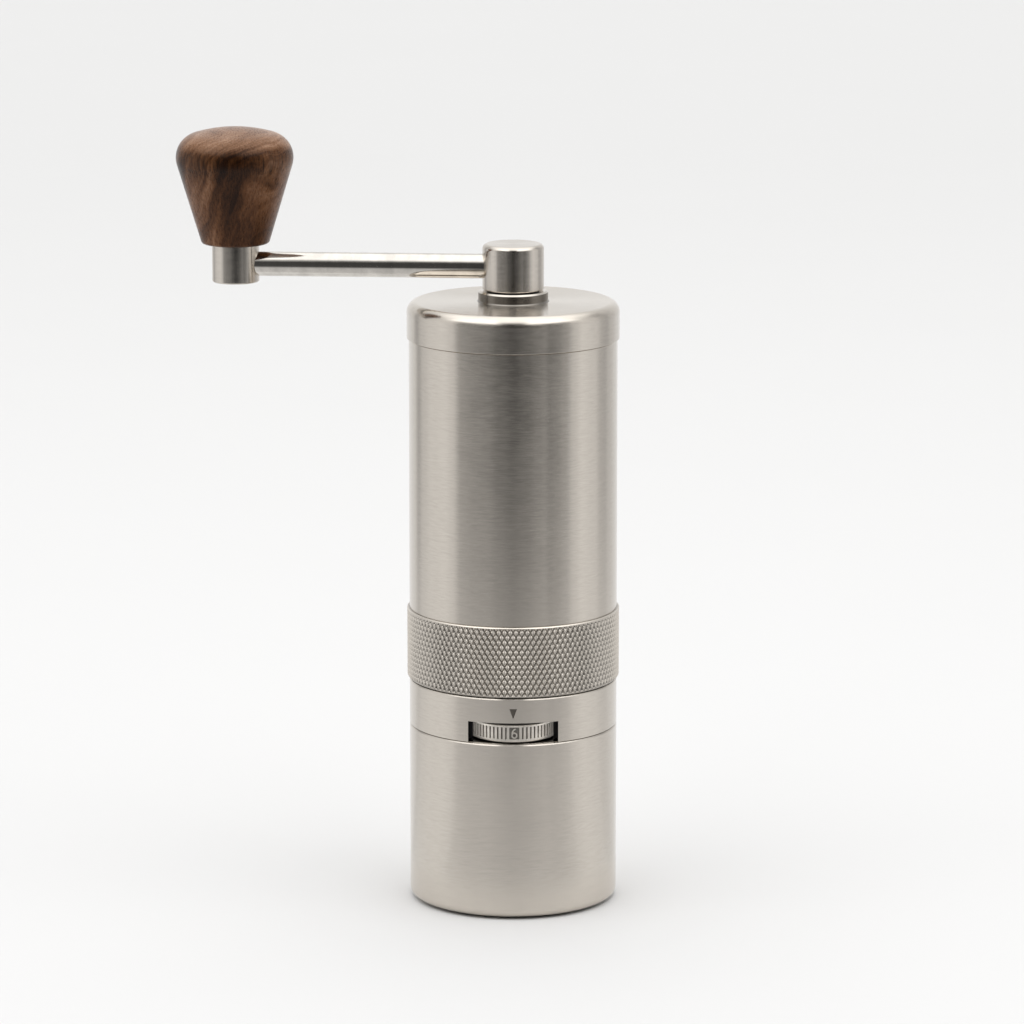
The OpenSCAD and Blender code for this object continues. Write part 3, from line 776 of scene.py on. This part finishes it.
def knurl_skin(r, half_height):
    """A bmesh of the knurled cylinder, half_height to each side of zero. Its grooves run out at the top."""
    pitch = 2 * math.pi * r / KNURL_STARTS
    slope = math.tan(math.radians(KNURL_ANGLE))
    reach = math.ceil(half_height * 2 * slope / pitch) + 1
    count = len(KNURL_PROFILE)
    around = count * KNURL_STARTS
    mesh = bmesh.new()
    made = {}

    def vertex(ka, kb):
        """Vertex at the ka-th and kb-th mark along the two families of grooves."""
        while ka >= around:
            ka, kb = ka - around, kb - around
        while ka < 0:
            ka, kb = ka + around, kb + around
        if (ka, kb) not in made:
            mark_a, depth_a = KNURL_PROFILE[ka % count]
            mark_b, depth_b = KNURL_PROFILE[kb % count]
            a = ka // count + mark_a
            b = kb // count + mark_b
            angle = pitch * (a + b) / 2 / r
            height = pitch * (b - a) / 2 / slope
            here = r - max(depth_a, depth_b)
            made[ka, kb] = mesh.verts.new((here * math.cos(angle), here * math.sin(angle), height))
        return made[ka, kb]

    for i in range(KNURL_STARTS):
        for d in range(-reach, reach + 1):
            for u in range(count):
                for v in range(count):
                    a, b = count * i + u, count * (i + d) + v
                    quad = [vertex(a, b), vertex(a + 1, b), vertex(a + 1, b + 1), vertex(a, b + 1)]
                    turn = (u + v) % 2
                    quad = quad[turn:] + quad[:turn]
                    mesh.faces.new([quad[0], quad[1], quad[2]])
                    mesh.faces.new([quad[0], quad[2], quad[3]])
    for sign in (-1, 1):
        bmesh.ops.bisect_plane(
            mesh,
            geom=mesh.verts[:] + mesh.edges[:] + mesh.faces[:],
            plane_co=(0, 0, sign * half_height),
            plane_no=(0, 0, sign),
            clear_outer=True,
            dist=1e-5,
        )
    for v in mesh.verts:
        if abs(v.co.z - half_height) < 1e-4:
            scale = r / math.hypot(v.co.x, v.co.y)
            v.co.x *= scale
            v.co.y *= scale
    return mesh


def extend_rim(mesh, rim, steps):
    """Extrudes an edge loop through rings (r, z) and gives the last loop back."""
    for r, z in steps:
        grown = bmesh.ops.extrude_edge_only(mesh, edges=rim)["geom"]
        rim = [e for e in grown if isinstance(e, bmesh.types.BMEdge) and all(v in grown for v in e.verts)]
        rim = [e for e in rim if len(e.link_faces) == 1]
        for v in {v for e in rim for v in e.verts}:
            angle = math.atan2(v.co.y, v.co.x)
            v.co = (r * math.cos(angle), r * math.sin(angle), z)
    return rim


def make_grip():
    """The grip ring: knurled between a chamfer at its foot and a narrow land at its top."""
    low, high = span("grip_ring")
    r = GRIP_R
    bore = r - 1.1
    bottom_land, top_land = 0.42, 0.36
    middle = (low.z + bottom_land + high.z - top_land) / 2
    half = (high.z - top_land - low.z - bottom_land) / 2
    mesh = knurl_skin(r, half)
    ends = {}
    for sign in (-1, 1):
        ends[sign] = [e for e in mesh.edges if all(abs(v.co.z - sign * half) < 1e-4 for v in e.verts)]
    z0, z1 = low.z - middle, high.z - middle
    rims = [
        extend_rim(
            mesh,
            ends[-1],
            [(r - 0.34, z0 + 0.22), (r - 0.42, z0 + 0.06), (r - 0.50, z0), (bore, z0)],
        ),
        extend_rim(
            mesh,
            ends[1],
            [(r - 0.04, z1 - 0.24), (r - 0.14, z1 - 0.11), (r - 0.26, z1 - 0.03), (r - 0.38, z1), (bore, z1)],
        ),
    ]
    bmesh.ops.bridge_loops(mesh, edges=rims[0] + rims[1])
    bmesh.ops.recalc_face_normals(mesh, faces=mesh.faces[:])
    bmesh.ops.translate(mesh, verts=mesh.verts[:], vec=(0, 0, middle))
    bmesh.ops.scale(mesh, verts=mesh.verts[:], vec=(MM, MM, MM))
    data = bpy.data.meshes.new("knurled_grip")
    mesh.to_mesh(data)
    mesh.free()
    data.shade_smooth()
    data.set_sharp_from_angle(angle=math.radians(20))
    grip = add_object("knurled_grip", data)
    dress(grip, "casing", "knurled_steel", KNURLED, "grip_ring")


# ---------------------------------------------------------------- the thumbwheel

WHEEL_RIBS = 64
FIGURES = ("6", "9", "0", "3")  # one figure every quarter turn, the first one in front
# Marks across a slot and across a figure's pocket, in ribs, and whether the wheel is cut in there
SLOT = [(-0.21, 0), (-0.13, 1), (0.13, 1), (0.21, 0)]
POCKET = [(-1.20, 0), *((mark, 1) for mark in (-1.13, -0.75, -0.38, 0, 0.38, 0.75, 1.13)), (1.20, 0)]

FIGURE_STROKES = {
    "0": [ellipse(0, 0, 0.58, 1.10, 0, 360, 28)],
    "6": [ellipse(0, -0.50, 0.58, 0.62, 0, 360, 24), ellipse(0.42, -0.40, 1.00, 1.52, 170, 95, 12)],
    "9": [ellipse(0, 0.50, 0.58, 0.62, 0, 360, 24), ellipse(-0.42, 0.40, 1.00, 1.52, -10, -85, 12)],
    "3": [ellipse(-0.05, 0.54, 0.58, 0.54, 140, -90, 16), ellipse(-0.05, -0.56, 0.62, 0.56, 90, -140, 16)],
}


def stroke_on_drum(points, half_width, base_r, top_r, facing, z0):
    """A raised stroke that follows points (across, up) on a drum, seen from outside at the angle facing."""
    verts, faces = [], []
    line = np.array(points)
    slope = np.gradient(line, axis=0)
    loop = np.linalg.norm(line[0] - line[-1]) < 1e-6
    if loop:
        slope[0] = slope[-1] = line[1] - line[-2]
    slope /= np.linalg.norm(slope, axis=1)[:, None]
    for (x, y), (tx, ty) in zip(line, slope):
        for offset, r in (
            (-half_width, base_r),
            (-half_width * 0.62, top_r),
            (half_width * 0.62, top_r),
            (half_width, base_r),
        ):
            across, up = x - ty * offset, y + tx * offset
            angle = facing + across / top_r
            verts.append((r * math.cos(angle), r * math.sin(angle), z0 + up))
    last = len(line) - 1
    for k in range(last):
        for s in range(4):
            n = (s + 1) % 4
            a, b = 4 * k, 4 * (k + 1)
            faces.append((a + s, a + n, b + n, b + s))
    if not loop:
        faces.append((3, 2, 1, 0))
        faces.append(tuple(4 * last + s for s in range(4)))
    return verts, faces


def wheel_columns():
    """Angles around the wheel, counted in ribs, and whether a slot or a figure's pocket is cut there."""
    per_figure = WHEEL_RIBS // len(FIGURES)
    columns = []
    for slot in range(WHEEL_RIBS):
        past_figure = slot % per_figure
        if past_figure == 0:
            steps = POCKET
        elif past_figure in (1, per_figure - 1):
            steps = []
        else:
            steps = SLOT
        columns += [(slot + offset, cut_in) for offset, cut_in in steps]
    return columns


def make_thumbwheel():
    """A drum with slots around it, and a pocket with a raised figure every quarter turn."""
    low, high = span("adjust_wheel")
    r = WHEEL_R
    slot_r = r - RIB_DEPTH
    front = -math.pi / 2 + 0.028
    bore, recess_in, recess_out, recess_top = 4.2, 6.6, 8.4, low.z + 0.5
    top_round, bottom_round = 0.42, 0.3
    top_edge = arc_points(r - top_round, high.z - top_round, top_round, 0, 90, 7)
    bottom_edge = arc_points(r - bottom_round, low.z + bottom_round, bottom_round, -90, 0, 4)
    # Radius, height, and whether the slots are cut in at that height
    rows = [
        (bore, low.z, 0),
        (recess_in, low.z, 0),
        (recess_in, recess_top, 0),
        (recess_out, recess_top, 0),
        (recess_out, low.z, 0),
        *((edge_r, z, 0) for edge_r, z in bottom_edge),
        (r, low.z + 0.74, 0),
        (r, low.z + 0.84, 1),
        (r, high.z - 0.66, 1),
        (r, high.z - 0.54, 0),
        *((edge_r, z, 0) for edge_r, z in top_edge),
        (bore, high.z, 0),
    ]
    columns = wheel_columns()
    count = len(columns)
    verts, faces = [], []
    for ring_r, z, slotted in rows:
        for slot, cut_in in columns:
            angle = front + slot * 2 * math.pi / WHEEL_RIBS
            here = slot_r if slotted and cut_in else ring_r
            verts.append((here * math.cos(angle), here * math.sin(angle), z))
    for k in range(len(rows)):
        a, b = k * count, ((k + 1) % len(rows)) * count
        faces += [(a + s, a + (s + 1) % count, b + (s + 1) % count, b + s) for s in range(count)]
    middle = (low.z + high.z) / 2 + 0.09
    half_stroke = 0.24
    for k, figure in enumerate(FIGURES):
        facing = front + 2 * math.pi * k / len(FIGURES)
        for stroke in FIGURE_STROKES[figure]:
            more_verts, more_faces = stroke_on_drum(
                stroke, half_stroke, slot_r - 0.05, r - 0.01, facing, middle
            )
            faces += [tuple(v + len(verts) for v in face) for face in more_faces]
            verts += more_verts
    wheel = make_object("thumbwheel", verts, faces, axis_of("adjust_wheel"), smooth_angle=40)
    turn_outward(wheel)
    dress(wheel, "wheel", "turned_steel", MILLED, "adjust_wheel")


# ---------------------------------------------------------------- lid and crank

HUB_STEM_R = 5.0
HUB_BORE_R = HUB_STEM_R + 0.05
BUSH_STEM_R = 6.8


def make_lid():
    """The lid: a cap with a plug below it, and a step under its edge that makes the dark seam."""
    low, high = span("lid_shell")
    r = radius("lid_shell")
    seat = span("body_tube")[1].z
    plug_r = radius("lid_seal")
    plug_bore = 21.4
    ceiling = high.z - 2.5
    seam_r, seam_z = r - 1.1, seat + 0.20
    lid = lathe(
        "lid_cap",
        [
            (BUSH_STEM_R, high.z, 0.05),
            (BUSH_STEM_R, ceiling, 0.05),
            (plug_bore, ceiling, 0.5),
            (plug_bore, low.z, 0.2),
            (plug_r, low.z, 0.4),
            *seal_groove(plug_r, low.z + 2.0),
            (plug_r, seat, 0.05),
            (seam_r, seat, 0.03),
            (seam_r, seam_z, 0.03),
            (r, seam_z, 0.12),
            (r, high.z, 2.5),
        ],
    )
    dress(lid, "lid", "brushed_steel", BRUSHED, "lid_shell")


def make_bush():
    """The bush in the middle of the lid, with a small flare at its foot and a chamfer at its top."""
    low, high = span("lid_bush")
    r = BUSH_R
    base = span("lid_shell")[1].z
    chamfer = 0.42
    bush = lathe(
        "lid_collar",
        [
            (HUB_BORE_R, low.z, 0.1),
            (BUSH_STEM_R, low.z, 0.2),
            (BUSH_STEM_R, base, 0.02),
            (r + 0.28, base, 0.02),
            (r, base + 0.30, 0.15),
            (r, high.z - chamfer, 0.05),
            (r - chamfer, high.z, 0.05),
            (HUB_BORE_R, high.z, 0.15),
        ],
    )
    dress(bush, "lid", "turned_steel", BUSH, "lid_bush")


def make_hub():
    """The hub: a head on a stem, with a blind socket for the shaft and a groove for the circlip."""
    low, high = span("crank_hub")
    r = radius("crank_hub")
    seat = span("hub_washer")[1].z
    across_flats, socket_depth = 6.2, 11.3
    socket = across_flats / math.sqrt(3)
    groove, groove_low, groove_high = HUB_STEM_R - 0.5, low.z + 0.6, low.z + 1.4
    hub = lathe(
        "hub",
        [
            (socket, low.z + socket_depth, 0.05),
            (socket, low.z, 0.2),
            (HUB_STEM_R, low.z, 0.2),
            (HUB_STEM_R, groove_low, 0.03),
            (groove, groove_low, 0.03),
            (groove, groove_high, 0.03),
            (HUB_STEM_R, groove_high, 0.03),
            (HUB_STEM_R, seat, 0.05),
            (r, seat, 0.3),
            (r, high.z, 1.2),
            (0, high.z, 0),
        ],
        closed=False,
    )
    dress(hub, "crank", "turned_steel", TURNED, "crank_hub")


def make_hub_ring():
    """The black washer between the bush and the hub."""
    low, high = span("hub_washer")
    r = radius("hub_washer")
    washer = lathe(
        "hub_ring",
        [(HUB_BORE_R, low.z, 0.05), (r, low.z, 0.1), (r, high.z, 0.1), (HUB_BORE_R, high.z, 0.05)],
    )
    dress(washer, "lid", "black_plastic", PLASTIC, "hub_washer")


def make_rod():
    """The polished rod lies along the line from the hub's axis to the post's."""
    low, high = span("crank_rod")
    post = Vector((*axis_of("crank_post"), 0))
    along = post.normalized()
    height = (low.z + high.z) / 2
    r = (high.z - low.z) / 2
    inside_hub, past_post = 4.5, 2.0
    reach = post.length + past_post + inside_hub
    verts, faces, normals = lathe_data(
        rounded([(0, 0, 0), (r, 0, 0.3), (r, reach, 0.3), (0, reach, 0)], closed=False), False, 96
    )
    spin = Matrix.Rotation(math.atan2(along.y, along.x), 3, "Z") @ Matrix.Rotation(math.pi / 2, 3, "Y")
    start = -along * inside_hub + Vector((0, 0, height))
    verts = [start + spin @ Vector(v) for v in verts]
    normals = [spin @ Vector(n) for n in normals]
    rod = make_object("rod", verts, faces, normals=normals)
    dress(rod, "crank", "polished_steel", POLISHED, "crank_rod")


def make_post():
    """The post, and on it the spindle that the knob turns on, with a groove for the snap ring."""
    low, high = span("crank_post")
    r = radius("crank_post")
    top = span("knob_washer")[0].z
    spindle = 2.5
    groove, groove_low, groove_high = spindle - 0.4, high.z - 2.0, high.z - 1.2
    post = lathe(
        "post",
        [
            (0, low.z, 0),
            (r, low.z, 0.4),
            (r, top, 0.15),
            (spindle, top, 0.05),
            (spindle, groove_low, 0.03),
            (groove, groove_low, 0.03),
            (groove, groove_high, 0.03),
            (spindle, groove_high, 0.03),
            (spindle, high.z, 0.3),
            (0, high.z, 0),
        ],
        place=axis_of("crank_post"),
        closed=False,
        segments=128,
    )
    dress(post, "crank", "turned_steel", TURNED, "crank_post")


KNOB_FOOT_R = 8.4
KNOB_SHOULDER_R = 6.1
KNOB_BORE_R = 4.5


def make_knob():
    """The turned knob: rounded foot, cone, shoulder and a low crown, with a blind bore for the insert."""
    low, high = span("wood_knob")
    r = radius("wood_knob")
    foot_edge = 0.9
    lean, crown_from = -18, 79
    shoulder_z = high.z - KNOB_SHOULDER_R - 1.2
    foot = arc_points(KNOB_FOOT_R - foot_edge, low.z + foot_edge, foot_edge, -90, lean, 8)
    shoulder = arc_points(r - KNOB_SHOULDER_R, shoulder_z, KNOB_SHOULDER_R, lean, crown_from, 32)
    cone_low, cone_high = np.array(foot[-1]), np.array(shoulder[0])
    cone = [tuple(cone_low + (cone_high - cone_low) * k / 12) for k in range(1, 12)]
    edge_r, edge_z = shoulder[-1]
    inwards = [1 - k / 14 for k in range(1, 14)]
    crown = [(edge_r * s, high.z - (high.z - edge_z) * s * s) for s in inwards]
    outside = with_normals([(KNOB_BORE_R + 0.3, low.z), *foot, *cone, *shoulder, *crown])
    ceiling = span("knob_insert")[1].z + 1.0
    outline = [
        (0, ceiling, 0, -1),
        (KNOB_BORE_R - 0.1, ceiling, 0, -1),
        (KNOB_BORE_R, ceiling - 0.1, -1, 0),
        (KNOB_BORE_R, low.z + 0.1, -1, 0),
        *outside,
        (0, high.z, 0, 1),
    ]
    verts, faces, normals = lathe_data(outline, closed=False, segments=192)
    knob = make_object("knob", verts, faces, axis_of("wood_knob"), normals)
    dress(knob, "knob", "walnut", WALNUT, "wood_knob")


# ---------------------------------------------------------------- inside


def make_spring():
    """The preload spring as a smooth round coil, clear of its seat, which rises by up to 0.28 mm."""
    low, high = span("preload_spring")
    foot = low.z + 0.3
    wire, turns, steps, sides = 0.5, 4.0, 240, 12
    coil_r = (high.x - low.x) / 2 - wire
    verts, faces = [], []
    for k in range(steps + 1):
        t = k / steps
        a = 2 * math.pi * turns * t
        z = foot + wire + (high.z - foot - 2 * wire) * t
        for s in range(sides):
            b = 2 * math.pi * s / sides
            r = coil_r + wire * math.cos(b)
            verts.append((r * math.cos(a), r * math.sin(a), z + wire * math.sin(b)))
    for k in range(steps):
        for s in range(sides):
            n = (s + 1) % sides
            a, b = k * sides, (k + 1) * sides
            faces.append((a + s, b + s, b + n, a + n))
    faces.append(tuple(range(sides)))
    faces.append(tuple(steps * sides + s for s in reversed(range(sides))))
    spring = make_object("spring_coil", verts, faces)
    dress(spring, "casing", "bearing_steel", BEARING, "preload_spring")


# ---------------------------------------------------------------- the studio

# Brightness of the tent around the object: degrees from the camera's side, positive to the right.
TENT = [
    (-180, 0.95),
    (-155, 0.88),
    (-138, 0.80),
    (-127, 0.48),
    (-116, 0.72),
    (-100, 0.86),
    (-80, 0.90),
    (-70, 0.78),
    (-58, 0.34),
    (-42, 0.24),
    (-30, 0.20),
    (-14, 0.085),
    (0, 0.02),
    (14, 0.07),
    (28, 0.175),
    (34, 0.24),
    (40, 0.16),
    (48, 0.22),
    (58, 0.36),
    (70, 0.72),
    (80, 0.90),
    (100, 0.80),
    (112, 0.56),
    (120, 0.52),
    (130, 0.66),
    (150, 0.80),
    (180, 0.95),
]


CEILING = 1.75  # brightness overhead
CEILING_SIDES = 0.45  # what it gains at both sides


def tent_light(tree, x, y):
    """The tent's brightness towards the direction (x, y)."""
    turn = tree.math("DIVIDE", tree.math("ARCTAN2", x, tree.math("MULTIPLY", y, -1.0)), 2 * math.pi)
    stops = [(0.5 + degrees / 360, light) for degrees, light in TENT]
    return tree.ramp(tree.math("ADD", turn, 0.5), stops, "EASE")


def make_floor():
    """A wide pale floor, darkened towards the back with painted shade."""
    reach = 6.0
    corners = [(-reach, -reach, 0), (reach, -reach, 0), (reach, reach, 0), (-reach, reach, 0)]
    mesh = bpy.data.meshes.new("floor")
    mesh.from_pydata(corners, [], [(0, 1, 2, 3)])
    floor = add_object("floor", mesh)
    look = Look("pale_floor")
    place = look.place_mm()
    cloud = look.noise(place, scale=0.01, detail=3.0)
    x, y, z = look.split(place)
    # Painted shade: the floor darkens towards the back.
    far = look.map_range(y, -200.0, 1500.0, 0.0, 1.0, "SMOOTHSTEP")
    tone = look.math("ADD", far, look.math("MULTIPLY", look.math("SUBTRACT", cloud, 0.5), 0.1))
    look.set(
        Base_Color=look.ramp(tone, [(0.0, (0.735, 0.735, 0.737)), (1.0, (0.645, 0.645, 0.645))]),
        Roughness=0.7,
        Specular_IOR_Level=0.1,
    )
    mesh.materials.append(look.material)


def make_far_floor():
    """The floor as reflections see it: a ring that is bright near the object and dark far off in front."""
    near, far, height = 0.05, 6.0, 0.0005
    count = 96
    verts = []
    for k in range(count):
        a = 2 * math.pi * k / count
        verts += [(r * math.cos(a), r * math.sin(a), height) for r in (near, far)]
    faces = [(2 * k, 2 * k + 1, (2 * k + 3) % (2 * count), (2 * k + 2) % (2 * count)) for k in range(count)]
    mesh = bpy.data.meshes.new("far_floor")
    mesh.from_pydata(verts, [], faces)
    ring = add_object("far_floor", mesh)
    material = bpy.data.materials.new("far_floor")
    tree = Tree(material)
    x, y, z = tree.split(tree.add("ShaderNodeTexCoord").outputs["Object"])
    close = tree.map_range(tree.length(tree.vector(x, y)), 0.20, 0.62, 1, 0, "SMOOTHSTEP")
    tent = tent_light(tree, x, y)
    close_light = tree.math("ADD", 0.62, tree.math("MULTIPLY", tent, 0.32))
    light = tree.mix(close, tent, close_light)
    glow = tree.add("ShaderNodeEmission", {"Strength": light})
    tree.add("ShaderNodeOutputMaterial", {"Surface": glow.outputs[0]})
    mesh.materials.append(material)
    for name in ("camera", "diffuse", "shadow", "transmission"):
        setattr(ring, "visible_" + name, False)


def make_world():
    """A soft white tent, darker in front, under a bright ceiling that reaches lower at both sides."""
    world = bpy.data.worlds.new("tent")
    bpy.context.scene.world = world
    tree = Tree(world)
    x, y, z = tree.split(tree.add("ShaderNodeTexCoord").outputs["Generated"])
    left = tree.map_range(x, -0.30, -0.12, 1, 0, "SMOOTHSTEP")
    right = tree.map_range(x, 0.10, 0.28, 0, 1, "SMOOTHSTEP")
    behind = tree.map_range(y, -0.25, 0.15, 1, 0, "SMOOTHSTEP")
    sides = tree.math("MULTIPLY", tree.math("MAXIMUM", left, right), behind)
    ceiling = tree.math("ADD", CEILING, tree.math("MULTIPLY", sides, CEILING_SIDES))
    over = tree.map_range(z, 0.56, 0.88, 0, 1, "SMOOTHSTEP")
    low_over = tree.map_range(z, 0.45, 0.62, 0, 1, "SMOOTHSTEP")
    over = tree.math("MAXIMUM", over, tree.math("MULTIPLY", low_over, sides))
    light = tree.mix(over, tent_light(tree, x, y), ceiling)
    shade = tree.add("ShaderNodeBackground", {"Color": (1.0, 0.997, 0.99, 1), "Strength": light})
    tree.add("ShaderNodeOutputWorld", {"Surface": shade.outputs[0]})


def make_wheel_lights():
    """Two soft side lights for the thumbwheel alone, which would else be lost in the window's shade."""
    size, power, distance = 0.25, 1.0, 0.5
    sideways, rise = math.radians(84), 0.28
    only = bpy.data.collections.new("lit_wheel")
    only.objects.link(bpy.data.objects["thumbwheel"])
    foot = Vector((*axis_of("adjust_wheel"), span("adjust_wheel")[0].z)) * MM
    for side in (-1, 1):
        data = bpy.data.lights.new("side_light", "AREA")
        data.size = size
        data.energy = power
        light = add_object("side_light", data)
        away = Vector((side * math.sin(sideways), -math.cos(sideways), rise)) * distance
        light.location = foot + away
        light.rotation_euler = away.to_track_quat("Z", "Y").to_euler()
        light.light_linking.receiver_collection = only
        light.light_linking.blocker_collection = only


def make_camera():
    """A long lens, a little above the object."""
    pitch = math.radians(11.42)
    distance, aim, sideways = 1.320, 0.0963, -0.00028
    data = bpy.data.cameras.new("camera")
    data.sensor_width = 36.0
    data.lens = 189.84
    data.clip_end = 50
    camera = add_object("camera", data)
    camera.location = (sideways, -distance * math.cos(pitch), aim + distance * math.sin(pitch))
    camera.rotation_euler = (math.pi / 2 - pitch, 0, 0)
    bpy.context.scene.camera = camera


# ---------------------------------------------------------------- the build

make_camera()
dress_cad_nodes()
make_cup()
make_foot_pad()
make_collar()
make_grip()
make_tube()
make_thumbwheel()
make_lid()
make_bush()
make_hub()
make_hub_ring()
make_rod()
make_post()
make_knob()
make_spring()
make_floor()
make_far_floor()
make_world()
make_wheel_lights()
bpy.context.scene.view_settings.view_transform = "Standard"
